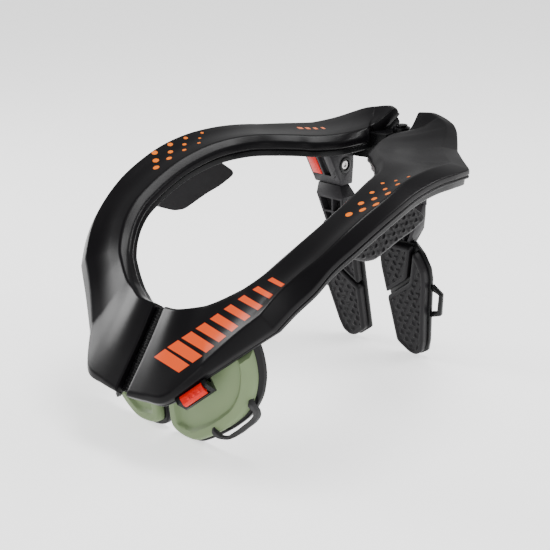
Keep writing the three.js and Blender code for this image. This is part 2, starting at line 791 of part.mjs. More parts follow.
// Open strap loop on the plate's outer edge
function backLoop() {
  const edge = (s) => {
    const share = (s - backPlateRim) / backHeight;
    const rows = backOutline.slice(4, 7);
    let low = rows[0];
    let high = rows[1];
    if (share > rows[1].up) {
      low = rows[1];
      high = rows[2];
    }
    const t = (share - low.up) / (high.up - low.up);
    return backInner + (low.across + (high.across - low.across) * t) * backWidth + backPlateRim;
  };
  const s0 = loopStart;
  const s1 = loopStart + loopHeight;
  const gap = seatGap + 0.2;
  const base = [
    [edge(s0) + gap, s0],
    [edge(s0) + loopReach, s0 + 4],
    [edge(s1) + loopReach - 2, s1 - 8],
    [edge(s1) + gap, s1],
  ];
  const inner = [
    [edge(s0 + loopWire) + gap - 4, s0 + loopWire + 1],
    [edge(s0) + loopReach - loopWire, s0 + 4 + loopWire * 0.8],
    [edge(s1) + loopReach - 2 - loopWire, s1 - 8 - loopWire * 0.2],
    [edge(s1 - loopWire) + gap - 4, s1 - loopWire - 1],
  ];
  const depth = backPadThickness + seatGap;
  const outer = backLayer(base, [[depth, 0], [depth + backPlateThickness, 0]]);
  const hole = backLayer(inner, [[depth - 1, 0], [depth + backPlateThickness + 1, 0]]);
  return cutAll(outer, [hole]);
}

// Points on the chest face, which leans forward with height and wraps back at its outer side
function chestPoint(x, z, d) {
  const wrap = Math.max(0, (x - 0.35 * chestWidth) / (0.7 * chestWidth));
  return new THREE.Vector3(x, chestFront + chestWrap * wrap * wrap - chestLean * z + d, z);
}

const chestFace = (row) => [chestInner + row.across * chestWidth, row.up * chestHeight];

function chestLayer(outline, levels) {
  return skinRings(levels.map(([d, inset]) => shrinkOutline(outline, inset).map(([x, z]) => chestPoint(x, z, d))));
}

const chestFullOutline = chestOutline.map(chestFace);

// Rings inside the outline, so that the wide faces follow the wrap
const chestInsets = [0, 0.2, 0.4, 0.6, 0.8].map((share) => (share * chestHeight * 0.85) / 2);

// Room for the tongue and for what swings with it, open towards the neck
function tongueRoom() {
  const from = -innerLip * 2;
  const to = frontStation.span * 0.42 + tongueClearance / 2;
  const far = tongueClearance * 1.5 + tongueThickness;
  return frontBar(-tongueReach - tongueRoomSide, tongueReach + tongueRoomSide, [
    [from, underFront(from, -frameThickness)],
    [to, underFront(to, -frameThickness)],
    [to, underFront(to, far)],
    [from, underFront(from, far)],
  ]);
}

// Cuts away what would reach into the collar frame above
function underCollar(geometry) {
  const length = frontStation.span;
  const underGroove = frontBar(-grooveHalf - 1, grooveHalf + 1, [
    [-innerLip, underFront(-innerLip, 2.4 * seatGap)],
    [-innerLip, bevelRise * 2],
    [length + 2, bevelRise * 2],
    [length + 2, underFront(length, 2.4 * seatGap)],
  ]);
  return mainBody(cutAll(geometry, [collarSeat, underGroove, tongueRoom()]));
}

function chestPlate() {
  const front = chestPadThickness + seatGap;
  const rear = front + chestPlateThickness;
  return underCollar(chestLayer(chestFullOutline, [
    ...chestInsets.map((inset) => [rear, inset]).reverse(),
    ...chestInsets.map((inset) => [front, inset]),
  ]));
}

function chestPad() {
  const dishEdge = chestRimWidth + chestDish * 1.25;
  return underCollar(chestLayer(shrinkOutline(chestFullOutline, chestPlateRim), [
    ...chestInsets.map((inset) => [chestPadThickness, inset]).reverse(),
    [chestPadBevel, 0],
    [0, chestPadBevel],
    [0, chestRimWidth],
    [chestDish, dishEdge],
    ...chestInsets.filter((inset) => inset > dishEdge).map((inset) => [chestDish, inset]),
  ]));
}

// Loop of webbing that hangs off the chest plate's lower outer edge
function chestLoop() {
  const start = chestFace(chestOutline[4]);
  const end = chestFace(chestOutline[6]);
  const along = new THREE.Vector2(end[0] - start[0], end[1] - start[1]);
  const length = along.length();
  along.normalize();
  const away = new THREE.Vector2(along.y, -along.x);
  const at = (share, distance) => [
    start[0] + along.x * share * length + away.x * distance,
    start[1] + along.y * share * length + away.y * distance,
  ];
  const edge = seatGap + 0.2;
  const t = webbingThickness;
  const outline = [
    at(0.02, edge), at(0.06, webbingDrop * 0.6), at(0.22, webbingDrop * 0.95), at(0.8, webbingDrop),
    at(0.95, webbingDrop * 0.7), at(0.97, edge + 1.2), at(0.97 - t / length, edge + 1.2),
    at(0.93 - t / length, webbingDrop * 0.7 - t * 0.4), at(0.78, webbingDrop - t),
    at(0.24, webbingDrop * 0.95 - t), at(0.08 + t / length, webbingDrop * 0.6 - t * 0.5), at(0.02 + t / length, edge),
  ];
  const depth = chestPadThickness + seatGap + chestPlateThickness / 2;
  return chestLayer(outline, [[depth - webbingWidth / 2, 0], [depth + webbingWidth / 2, 0]]);
}

// Release under the left half's outer front edge: local axes run along the edge, across and out
const releaseFrom = stations[2];
const releaseTo = stations[3];
const releaseEdge = releaseTo.outer.clone().sub(releaseFrom.outer);
const releaseAlong = releaseEdge.clone().normalize();
const releaseAcross = releaseFrom.across.clone().add(releaseTo.across);
releaseAcross.addScaledVector(releaseAlong, -releaseAcross.dot(releaseAlong)).normalize();
const releaseOut = releaseAlong.clone().cross(releaseAcross).normalize();
if (releaseOut.dot(up) < 0) {
  releaseOut.negate();
}

function releasePoint(e, a, n) {
  return releaseTo.outer.clone()
    .addScaledVector(releaseAlong, e)
    .addScaledVector(releaseAcross, a)
    .addScaledVector(releaseOut, n);
}

function releaseBar(eFrom, eTo, profile) {
  return skinRings([eFrom, eTo].map((e) => profile.map(([a, n]) => releasePoint(e, a, n))));
}

const releaseEnd = leverOffset + leverLength;

function releaseLever() {
  const r = leverThickness / 2;
  const a = leverEdge + r;
  const n = -leverDepth - r;
  const w = leverWidth - r;
  const body = releaseBar(-releaseEnd, -leverOffset, [
    [a - r, n], [a - r * 0.7, n + r * 0.7], [a, n + r], [a + w * 0.8, n + r * 0.8],
    [a + w, n + r * 0.1], [a + w * 0.9, n - r * 0.9], [a, n - r], [a - r * 0.7, n - r * 0.7],
  ]);
  const grips = [0.3, 0.55, 0.8].map((share) => releaseBar(
    -releaseEnd + leverLength * share - 1,
    -releaseEnd + leverLength * share + 1,
    [[a + w * 0.1, n + r * 0.7], [a + w * 0.25, n + r + 1.2], [a + w * 0.6, n + r + 1], [a + w * 0.75, n + r * 0.6]],
  ));
  return joinAll(body, grips);
}

function releaseHousing() {
  const back = -outerWall - 1 - frameThickness - 3 * seatGap;
  const a = leverEdge;
  const plate = releaseBar(-releaseEnd - 4, -leverOffset + 4, [
    [-housingReach, back - 1], [a + leverWidth * 0.7, back], [a + leverWidth * 0.7, back - housingThickness],
    [-housingReach, back - housingThickness - 1],
  ]);
  const ear = (from, to) => releaseBar(from, to, [
    [a - 0.3, -leverDepth - 1], [a + leverWidth * 0.6, -leverDepth - 1.6],
    [a + leverWidth * 0.7, back - 1], [a - 0.3, back - 1],
  ]);
  return cutAll(joinAll(plate, [
    ear(-releaseEnd - leverGap - 3.6, -releaseEnd - leverGap),
    ear(-leverOffset + leverGap, -leverOffset + leverGap + 3.6),
  ]), [collarSeat]);
}

function meshOf(name, geometry, material) {
  const ready = geometry.clone();
  ready.computeVertexNormals();
  const mesh = new THREE.Mesh(ready, material);
  mesh.name = name;
  return mesh;
}

const brace = new THREE.Group();
const leftHalf = new THREE.Group();
const rightHalf = new THREE.Group();
rightHalf.scale.x = -1;
brace.add(leftHalf, rightHalf);

function addPair(name, geometry, material) {
  leftHalf.add(meshOf(`${name}_left`, geometry, material));
  rightHalf.add(meshOf(`${name}_right`, geometry, material));
}

addPair('collar_pad', collarPad, coverBlack);
addPair('collar_frame', collarFrame, frameBlack);
addPair('shoulder_pad', shoulderPad(), padBlack);
addPair('rear_bracket', rearBracket(), plasticGrey);
addPair('angle_wedge', angleWedge(), leverRed);
addPair('bracket_screw', bracketScrew(), screwSteel);
addPair('rear_strut', rearStrut(), plasticGrey);
addPair('back_plate', backPlate(), frameBlack);
const pads = backPads();
addPair('back_pad_main', pads.main, padBlack);
addPair('back_pad_upper', pads.upper, padBlack);
addPair('back_loop', backLoop(), frameBlack);
addPair('chest_plate', chestPlate(), frameBlack);
addPair('chest_pad', chestPad(), padGreen);
addPair('chest_loop', chestLoop(), webBlack);

leftHalf.add(meshOf('hinge_bridge_left', hingeBridge(leftKnuckles, rightKnuckles), frameBlack));
rightHalf.add(meshOf('hinge_bridge_right', hingeBridge(rightKnuckles, leftKnuckles), frameBlack));
brace.add(meshOf('hinge_pin', hingePin(), screwSteel));
brace.add(meshOf('front_key', frontKey(), frameBlack));
brace.add(meshOf('front_tongue', frontTongue(), frameBlack));
brace.add(meshOf('release_lever', releaseLever(), leverRed));
brace.add(meshOf('release_housing', releaseHousing(), frameBlack));

// The origin is the middle of the whole brace's footprint, on the floor
const box = new THREE.Box3().setFromObject(brace);
brace.position.set(-(box.min.x + box.max.x) / 2, -(box.min.y + box.max.y) / 2, -box.min.z);

export default brace;
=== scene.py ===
import math

import bmesh
import bpy
import numpy as np
from mathutils import Matrix, Vector


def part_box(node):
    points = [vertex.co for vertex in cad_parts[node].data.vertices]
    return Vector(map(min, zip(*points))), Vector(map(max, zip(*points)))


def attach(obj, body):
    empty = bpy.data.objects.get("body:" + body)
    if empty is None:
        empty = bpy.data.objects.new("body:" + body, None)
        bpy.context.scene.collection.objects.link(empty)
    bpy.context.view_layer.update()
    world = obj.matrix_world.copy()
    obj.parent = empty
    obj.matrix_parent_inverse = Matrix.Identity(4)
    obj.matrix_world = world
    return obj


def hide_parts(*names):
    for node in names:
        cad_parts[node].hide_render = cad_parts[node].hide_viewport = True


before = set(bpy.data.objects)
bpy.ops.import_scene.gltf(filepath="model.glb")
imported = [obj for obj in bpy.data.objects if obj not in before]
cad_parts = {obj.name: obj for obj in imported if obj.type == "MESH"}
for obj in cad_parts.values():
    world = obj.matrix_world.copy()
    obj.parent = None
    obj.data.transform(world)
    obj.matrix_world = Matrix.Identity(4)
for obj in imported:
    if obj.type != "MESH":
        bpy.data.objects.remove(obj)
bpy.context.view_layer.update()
print("frame loaded:", len(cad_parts), "nodes")

mm = 0.001
footMiddle = 170.065  # the brace's middle along Y, measured from the front tip, mm
sides = {"left": 1, "right": -1}
bodies = {"left": "left_half", "right": "right_half"}


# Camera, floor and light
cameraLook = {
    "place": (0.7573, -0.7958, 0.4521), "toward": (-0.6585, 0.6874, -0.3064), "lens": 93.25, "sensor": 36.0,
    "clipStart": 0.01,
}
studio = {
    "floorSize": 30.0, "floorColor": (0.95, 0.95, 0.95, 1), "floorRoughness": 0.9, "floorGlow": 1.25,
    "skyColor": (1, 1, 1, 1), "skyStrength": 0.5,
}
lamps = {
    "topSoftbox": {"place": (0.1, 0.25, 1.5), "aim": (0, 0, 0.15), "size": (0.8, 0.5), "power": 17},
    "rearStrip": {"place": (0.9, 1.1, 1.1), "aim": (0.05, 0.0, 0.15), "size": (1.1, 0.14), "power": 13},
    "leftPanel": {"place": (-1.3, -0.5, 0.55), "aim": (0, -0.05, 0.12), "size": (0.5, 0.5), "power": 14},
    "frontFill": {"place": (0.5, -1.5, 0.7), "aim": (0, 0, 0.1), "size": (0.8, 0.6), "power": 5},
}


def makeCamera():
    data = bpy.data.cameras.new("photoCamera")
    data.lens = cameraLook["lens"]
    data.sensor_width = cameraLook["sensor"]
    data.clip_start = cameraLook["clipStart"]
    camera = bpy.data.objects.new("photoCamera", data)
    bpy.context.scene.collection.objects.link(camera)
    camera.location = cameraLook["place"]
    camera.rotation_euler = Vector(cameraLook["toward"]).to_track_quat("-Z", "Y").to_euler()
    bpy.context.scene.camera = camera


def makeLamp(name, look):
    data = bpy.data.lights.new(name, "AREA")
    data.shape = "RECTANGLE"
    data.size, data.size_y = look["size"]
    data.energy = look["power"]
    lamp = bpy.data.objects.new(name, data)
    bpy.context.scene.collection.objects.link(lamp)
    lamp.location = look["place"]
    lamp.rotation_euler = (Vector(look["aim"]) - Vector(look["place"])).to_track_quat("-Z", "Y").to_euler()


makeCamera()
for lampName, lampLook in lamps.items():
    makeLamp(lampName, lampLook)
print("camera and lamps placed")


# Shader helper
class Wire:
    def __init__(self, finish, socket):
        self.finish = finish
        self.socket = socket

    def math(self, operation, first, second):
        return self.finish.node("ShaderNodeMath", {"operation": operation}, [first, second])

    def __add__(self, other):
        return self.math("ADD", self, other)

    __radd__ = __add__

    def __sub__(self, other):
        return self.math("SUBTRACT", self, other)

    def __rsub__(self, other):
        return self.math("SUBTRACT", other, self)

    def __mul__(self, other):
        return self.math("MULTIPLY", self, other)

    __rmul__ = __mul__

    def __truediv__(self, other):
        return self.math("DIVIDE", self, other)

    def __or__(self, other):
        return self.math("MAXIMUM", self, other)

    def __and__(self, other):
        return self.math("MINIMUM", self, other)

    def __abs__(self):
        return self.math("ABSOLUTE", self, 0.0)


class Finish:
    def __init__(self, name):
        self.material = bpy.data.materials.new(name)
        self.material.use_nodes = True
        self.tree = self.material.node_tree
        self.shader = self.tree.nodes["Principled BSDF"]

    def node(self, kind, settings=None, inputs=None, output=0):
        made = self.tree.nodes.new(kind)
        for key, value in (settings or {}).items():
            if key == "stops":
                ramp = made.color_ramp
                for spare in list(ramp.elements)[1:]:
                    ramp.elements.remove(spare)
                ramp.elements[0].position, ramp.elements[0].color = value[0]
                for place, color in value[1:]:
                    ramp.elements.new(place).color = color
            else:
                setattr(made, key, value)
        pairs = inputs.items() if isinstance(inputs, dict) else enumerate(inputs or [])
        for key, value in pairs:
            self.feed(made.inputs[key], value)
        return Wire(self, made.outputs[output])

    def feed(self, socket, value):
        if isinstance(value, Wire):
            self.tree.links.new(value.socket, socket)
        else:
            socket.default_value = value

    def set(self, **values):
        for key, value in values.items():
            self.feed(self.shader.inputs[key.replace("_", " ")], value)

    def place(self):
        return self.node("ShaderNodeTexCoord", output="Object")

    def parts(self, vector):
        split = self.node("ShaderNodeSeparateXYZ", inputs=[vector]).socket.node
        return [Wire(self, out) for out in split.outputs]

    def noise(self, scale, detail=3.0, rough=0.55, vector=None):
        inputs = {"Vector": vector or self.place(), "Scale": scale, "Detail": detail, "Roughness": rough}
        return self.node("ShaderNodeTexNoise", inputs=inputs)

    def step(self, value, low, high):
        inputs = {"Value": value, "From Min": low, "From Max": high, "To Min": 0.0, "To Max": 1.0}
        return self.node("ShaderNodeMapRange", {"interpolation_type": "SMOOTHSTEP"}, inputs)

    def mix(self, factor, first, second):
        made = self.node("ShaderNodeMix", {"data_type": "RGBA"}).socket.node
        self.feed(made.inputs[0], factor)
        self.feed(made.inputs[6], first)
        self.feed(made.inputs[7], second)
        return Wire(self, made.outputs[2])

    def bump(self, height, strength, distance):
        inputs = {"Strength": strength, "Distance": distance, "Height": height}
        return self.node("ShaderNodeBump", inputs=inputs)

    def far(self, first, second):
        made = self.node("ShaderNodeVectorMath", {"operation": "DISTANCE"}).socket.node
        self.feed(made.inputs[0], first)
        self.feed(made.inputs[1], second)
        return Wire(self, made.outputs["Value"])

    def along(self, vector, direction):
        made = self.node("ShaderNodeVectorMath", {"operation": "DOT_PRODUCT"}).socket.node
        self.feed(made.inputs[0], vector)
        self.feed(made.inputs[1], direction)
        return Wire(self, made.outputs["Value"])


# Mesh helpers
def toMetres(points):
    moved = np.array(points, float)
    moved[..., 1] -= footMiddle
    return moved * mm


def addPiece(name, points, faces, side, body, material, slotName, nodes=(), sharp=38):
    points = np.array(points, float).reshape(-1, 3)
    if side < 0:
        points = points * [-1, 1, 1]
        faces = [face[::-1] for face in faces]
    mesh = bpy.data.meshes.new(name)
    mesh.from_pydata(points.tolist(), [], [list(face) for face in faces])
    mesh.validate()
    return finishPiece(name, mesh, body, material, slotName, nodes, sharp)


def finishPiece(name, mesh, body, material, slotName, nodes=(), sharp=38):
    work = bmesh.new()
    work.from_mesh(mesh)
    bmesh.ops.recalc_face_normals(work, faces=work.faces)
    work.to_mesh(mesh)
    work.free()
    mesh.shade_smooth()
    mesh.set_sharp_from_angle(angle=math.radians(sharp))
    mesh.materials.clear()
    mesh.materials.append(material)
    piece = bpy.data.objects.new(name, mesh)
    bpy.context.scene.collection.objects.link(piece)
    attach(piece, body)
    if nodes:
        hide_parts(*nodes)
    return piece


# Rings of equal length skinned into a closed tube, with a flat cap at each end
def skinRings(rings):
    rings = np.array(rings, float)
    count, around = rings.shape[:2]
    faces = []
    for r in range(count - 1):
        for k in range(around):
            n = (k + 1) % around
            faces.append((r * around + k, r * around + n, (r + 1) * around + n, (r + 1) * around + k))
    faces.append(tuple(range(around))[::-1])
    faces.append(tuple((count - 1) * around + k for k in range(around)))
    return rings.reshape(-1, 3), faces


# A smooth curve through values at uneven knots
def smoothThrough(values, knots, at, hold=None):
    slopes = np.gradient(values, knots, axis=0)
    if hold is not None:
        slopes = slopes * hold
    index = np.clip(np.searchsorted(knots, at, side="right") - 1, 0, len(knots) - 2)
    width = (knots[index + 1] - knots[index])[:, None]
    t = (at - knots[index])[:, None] / width
    return (
        (1 + 2 * t) * (1 - t) ** 2 * values[index]
        + t * (1 - t) ** 2 * width * slopes[index]
        + t * t * (3 - 2 * t) * values[index + 1]
        + t * t * (t - 1) * width * slopes[index + 1]
    )


# Rounds the corners of closed outlines: each corner is cut back and bridged by an arc
def roundCorners(corners, cuts, steps=6):
    corners = np.array(corners, float)
    toBefore = np.roll(corners, 1, axis=-2) - corners
    toAfter = np.roll(corners, -1, axis=-2) - corners
    before = np.maximum(np.linalg.norm(toBefore, axis=-1, keepdims=True), 1e-6)
    after = np.maximum(np.linalg.norm(toAfter, axis=-1, keepdims=True), 1e-6)
    cut = np.broadcast_to(np.array(cuts, float), corners.shape[:-1])[..., None]
    start = corners + toBefore / before * np.minimum(cut, 0.46 * before)
    end = corners + toAfter / after * np.minimum(cut, 0.46 * after)
    t = np.linspace(0, 1, steps)[:, None]
    start, middle, end = start[..., None, :], corners[..., None, :], end[..., None, :]
    arc = (1 - t) ** 2 * start + 2 * t * (1 - t) * middle + t * t * end
    return arc.reshape(corners.shape[:-2] + (-1, 2))


# Points at equal steps along a closed outline
def evenOutline(outline, count):
    closed = np.vstack([outline, outline[:1]])
    lengths = np.r_[0, np.cumsum(np.linalg.norm(np.diff(closed, axis=0), axis=1))]
    at = np.arange(count) / count * lengths[-1]
    return np.stack([np.interp(at, lengths, closed[:, k]) for k in range(2)], axis=1)


# Distance of points from a closed outline
def edgeDistance(points, outline):
    best = np.full(len(points), 1e9)
    for a, b in zip(outline, np.roll(outline, -1, axis=0)):
        d = b - a
        size = max(float(d @ d), 1e-12)
        t = np.clip(((points - a) @ d) / size, 0, 1)
        best = np.minimum(best, np.linalg.norm(points - a - t[:, None] * d, axis=1))
    return best


# A pad over an outline that can be seen whole from its centre: relief in front, flat behind
def reliefPad(outline, centre, relief, backDepth, place, spokes=360, rings=44, edge=10):
    border = evenOutline(outline, spokes)
    centre = np.array(centre, float)
    inside = np.linspace(0, 0.9, rings)[1:]
    rim = 0.9 + 0.1 * np.sin(np.linspace(0, math.pi / 2, edge + 1))[1:]
    shares = np.r_[inside, rim]
    flat = centre + shares[:, None, None] * (border - centre)
    spread = np.vstack([centre[None], flat.reshape(-1, 2)])
    depth = relief(spread, edgeDistance(spread, border))
    front = place(spread[:, 0], spread[:, 1], depth)
    back = place(border[:, 0], border[:, 1], np.full(spokes, backDepth))
    middle = place(centre[:1], centre[1:], np.array([backDepth]))
    points = np.vstack([front, back, middle])
    faces = [(0, 1 + k, 1 + (k + 1) % spokes) for k in range(spokes)]
    for r in range(len(shares)):
        a = 1 + r * spokes
        b = a + spokes
        for k in range(spokes):
            n = (k + 1) % spokes
            faces.append((a + k, b + k, b + n, a + n))
    last = 1 + len(shares) * spokes
    faces += [(last + k, len(points) - 1, last + (k + 1) % spokes) for k in range(spokes)]
    return points, faces


# Rounded fall of a face near its edge
def edgeFall(distance, reach, drop):
    share = np.clip(1 - distance / reach, 0, 1)
    return drop * (1 - np.sqrt(np.maximum(1 - share ** 2, 0)))


def smoothStep(value, low, high):
    t = np.clip((value - low) / (high - low), 0, 1)
    return t * t * (3 - 2 * t)


# Low triangular bumps on a staggered grid, pointing up and down in turn
def triangleBumps(points, pitch, size, height):
    u = points[:, 0] / pitch
    v = points[:, 1] / (pitch * 0.87)
    row = np.round(v)
    column = np.round(u - 0.5 * (row % 2))
    x = (u - 0.5 * (row % 2) - column) * pitch
    y = (v - row) * pitch * 0.87
    flip = np.where((column + row) % 2 == 0, 1.0, -1.0)
    y = y * flip
    reach = np.maximum.reduce([-y, 0.5 * y + 0.866 * x, 0.5 * y - 0.866 * x])
    return height * smoothStep(size - reach, 0, size * 0.55)


# A copy of a CAD node with its hard edges rounded over
def roundedCopy(nodeName, name, body, material, slotName, width=0.5, segments=2, sharp=32):
    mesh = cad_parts[nodeName].data.copy()
    mesh.name = name
    work = bmesh.new()
    work.from_mesh(mesh)
    bmesh.ops.remove_doubles(work, verts=work.verts, dist=1e-6)
    bmesh.ops.dissolve_limit(work, angle_limit=math.radians(1.5), verts=work.verts, edges=work.edges)
    work.to_mesh(mesh)
    work.free()
    mesh.materials.clear()
    mesh.materials.append(material)
    piece = bpy.data.objects.new(name, mesh)
    bpy.context.scene.collection.objects.link(piece)
    bevel = piece.modifiers.new("round", "BEVEL")
    bevel.width = width * mm
    bevel.segments = segments
    bevel.limit_method = "ANGLE"
    bevel.angle_limit = math.radians(25)
    applyModifiers(piece)
    piece.data.shade_smooth()
    piece.data.set_sharp_from_angle(angle=math.radians(sharp))
    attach(piece, body)
    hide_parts(nodeName)
    return piece


def applyModifiers(piece):
    bpy.context.view_layer.update()
    ready = piece.evaluated_get(bpy.context.evaluated_depsgraph_get())
    mesh = bpy.data.meshes.new_from_object(ready)
    piece.modifiers.clear()
    piece.data = mesh


def cutWith(piece, cutter):
    cut = piece.modifiers.new("cut", "BOOLEAN")
    cut.operation = "DIFFERENCE"
    cut.solver = "EXACT"
    cut.object = cutter
    applyModifiers(piece)


def plainObject(name, points, faces):
    mesh = bpy.data.meshes.new(name)
    mesh.from_pydata(np.array(points).tolist(), [], [list(face) for face in faces])
    work = bmesh.new()
    work.from_mesh(mesh)
    bmesh.ops.recalc_face_normals(work, faces=work.faces)
    work.to_mesh(mesh)
    work.free()
    made = bpy.data.objects.new(name, mesh)
    bpy.context.scene.collection.objects.link(made)
    return made


# Finishes
def plainFinish(name, color, roughness, grain, grainStrength, patch=0.08):
    made = Finish(name)
    tone = made.noise(9.0, 2.0)
    darker = tuple(c * (1 - patch) for c in color[:3]) + (1,)
    lighter = tuple(min(c * (1 + patch), 1) for c in color[:3]) + (1,)
    made.set(Base_Color=made.mix(tone, darker, lighter))
    made.set(Roughness=roughness - 0.04 + made.noise(60.0, 4.0) * 0.08)
    made.set(Normal=made.bump(made.noise(grain, 4.0, 0.6), grainStrength, 0.0004))
    made.set(Specular_IOR_Level=0.17)
    return made


shell = plainFinish("shellBlack", (0.004, 0.004, 0.0045, 1), 0.28, 900.0, 0.05)
greyPlastic = plainFinish("mouldedGrey", (0.02, 0.019, 0.021, 1), 0.42, 1400.0, 0.14)
bumpRubber = plainFinish("bumpRubber", (0.0065, 0.006, 0.007, 1), 0.45, 1600.0, 0.12)
redPlastic = plainFinish("redPlastic", (0.6, 0.008, 0.004, 1), 0.3, 700.0, 0.03)
greenFoam = plainFinish("greenFoam", (0.16, 0.215, 0.11, 1), 0.48, 2200.0, 0.1)
steel = Finish("platedScrew")
steel.set(Base_Color=(0.5, 0.49, 0.48, 1), Metallic=1.0)
steel.set(Roughness=0.24 + steel.noise(400.0) * 0.16)
steel.set(Normal=steel.bump(steel.noise(1200.0), 0.08, 0.0002))


def wovenFinish():
    made = Finish("blackWebbing")
    x, y, z = made.parts(made.place())
    pitch = 0.0011
    across = made.node("ShaderNodeMath", {"operation": "SINE"}, [(x + y) * (math.tau / pitch)])
    down = made.node("ShaderNodeMath", {"operation": "SINE"}, [z * (math.tau / pitch)])
    made.set(Base_Color=made.mix(made.noise(700.0), (0.006, 0.006, 0.007, 1), (0.02, 0.02, 0.021, 1)))
    made.set(Roughness=0.7)
    made.set(Normal=made.bump(across * down, 0.4, 0.0003))
    return made


webbing = wovenFinish()

# Dots graded from large to small, front row first; mm on the left arm
dotLook = {
    "color": (0.9, 0.19, 0.004, 1),
    "edge": (0.5, 0.75),  # how far past its radius a dot ends, solid and faded, mm
    "rows": [
        {"radius": 2.1, "spots": [(105.0, -37.2, 176.9), (112.4, -30.9, 180.8), (120.4, -24.8, 184.1)]},
        {"radius": 1.75, "spots": [(104.4, -23.3, 182.7), (110.6, -16.1, 186.3), (118.3, -9.1, 189.2)]},
        {"radius": 1.25, "spots": [(102.1, -8.2, 187.7), (109.0, -1.6, 190.5), (115.2, 5.8, 192.9)]},
        {"radius": 0.8, "spots": [(99.9, 6.7, 191.4), (106.5, 13.8, 193.8), (112.2, 22.1, 195.6)]},
    ],
}


# Slanted bars that get slimmer along the arm; start, along and across are in final millimetres
barLook = {
    "left": {
        "color": (0.8, 0.085, 0.012, 1), "start": (39.5, -146.0, 80.5), "along": (0.6091, 0.5239, 0.5955),
        "across": (0.7756, -0.2367, -0.5851), "pitch": 12.4, "first": 4.9, "thinning": 0.034, "slant": 0.55,
        "from": -14.0, "to": 98.0, "low": -11.5, "high": 12.5, "taper": 0.03,
    },
    "right": {
        "color": (0.85, 0.2, 0.07, 1), "start": (-66.0, 95.0, 195.0), "along": (0.81, 0.585, 0.045),
        "across": (0.585, -0.81, 0.0), "pitch": 6.6, "first": 2.1, "thinning": 0.045, "slant": 0.5,
        "from": -3.0, "to": 23.8, "low": -3.2, "high": 3.2, "taper": 0.0,
    },
}
barEdge = {"side": 0.15, "end": 0.2, "rim": 0.3, "reach": (7.0, 9.0)}  # soft edges and depth, mm


def barMask(made, place, look):
    start = [c * mm for c in look["start"]]
    toStart = made.node("ShaderNodeVectorMath", {"operation": "SUBTRACT"}, [place, start])
    u = made.along(toStart, look["along"]) / mm
    v = made.along(toStart, look["across"]) / mm
    upward = Vector(look["along"]).cross(Vector(look["across"])).normalized()
    away = abs(made.along(toStart, tuple(upward)) / mm)
    slanted = u - v * look["slant"]
    turn = made.node("ShaderNodeMath", {"operation": "FRACT"}, [(slanted - look["from"]) / look["pitch"]])
    middle = abs(turn - 0.5) * look["pitch"]
    half = look["first"] - u * look["thinning"]
    side, end, rim = barEdge["side"], barEdge["end"], barEdge["rim"]
    bar = 1 - made.step(middle - half, -side, side)
    begun = made.step(slanted, look["from"], look["from"] + end)
    ended = 1 - made.step(slanted, look["to"] - end, look["to"])
    above = made.step(v - u * look["taper"], look["low"], look["low"] + rim)
    below = 1 - made.step(v + u * look["taper"], look["high"] - rim, look["high"])
    near = 1 - made.step(away, *barEdge["reach"])
    return bar & begun & ended & above & below & near


def coverFinish(side):
    made = Finish("coverSkin" + side.capitalize())
    place = made.place()
    sign = sides[side]
    mask = None
    for row in dotLook["rows"]:
        for x, y, z in row["spots"]:
            away = made.far(place, (sign * x * mm, y * mm, z * mm))
            spot = 1 - made.step(away, *[(row["radius"] + edge) * mm for edge in dotLook["edge"]])
            mask = spot if mask is None else mask | spot
    skin = made.mix(made.noise(7.0, 2.0), (0.0024, 0.0021, 0.0027, 1), (0.0038, 0.0034, 0.0042, 1))
    painted = made.mix(mask, skin, dotLook["color"])
    bars = barLook[side]
    made.set(Base_Color=made.mix(barMask(made, place, bars), painted, bars["color"]))
    made.set(Roughness=0.27 + made.noise(45.0, 4.0) * 0.07, Specular_IOR_Level=0.13)
    made.set(Normal=made.bump(made.noise(1500.0, 3.0, 0.6), 0.09, 0.0003))
    return made


covers = {side: coverFinish(side) for side in sides}
print("finishes made")


# Collar: smooth lofts through the sections
collar = {
    "halfWidth": 131, "length": 337, "height": 211, "bevelRun": 12, "bevelRise": 8, "outerWall": 7,
    "innerWall": 13, "innerLip": 6, "innerLipDrop": 6, "topDish": 1.2, "frameThickness": 5,
    "frameInset": 2.5, "seatGap": 0.3, "stepsBetween": 9, "endRound": 0.9,
    "corners": {3: 0.15, 5: 0.15, 15: 0.3, 17: 0.3, 19: 0.3, 21: 0.3},  # rows where the outer edge turns
}
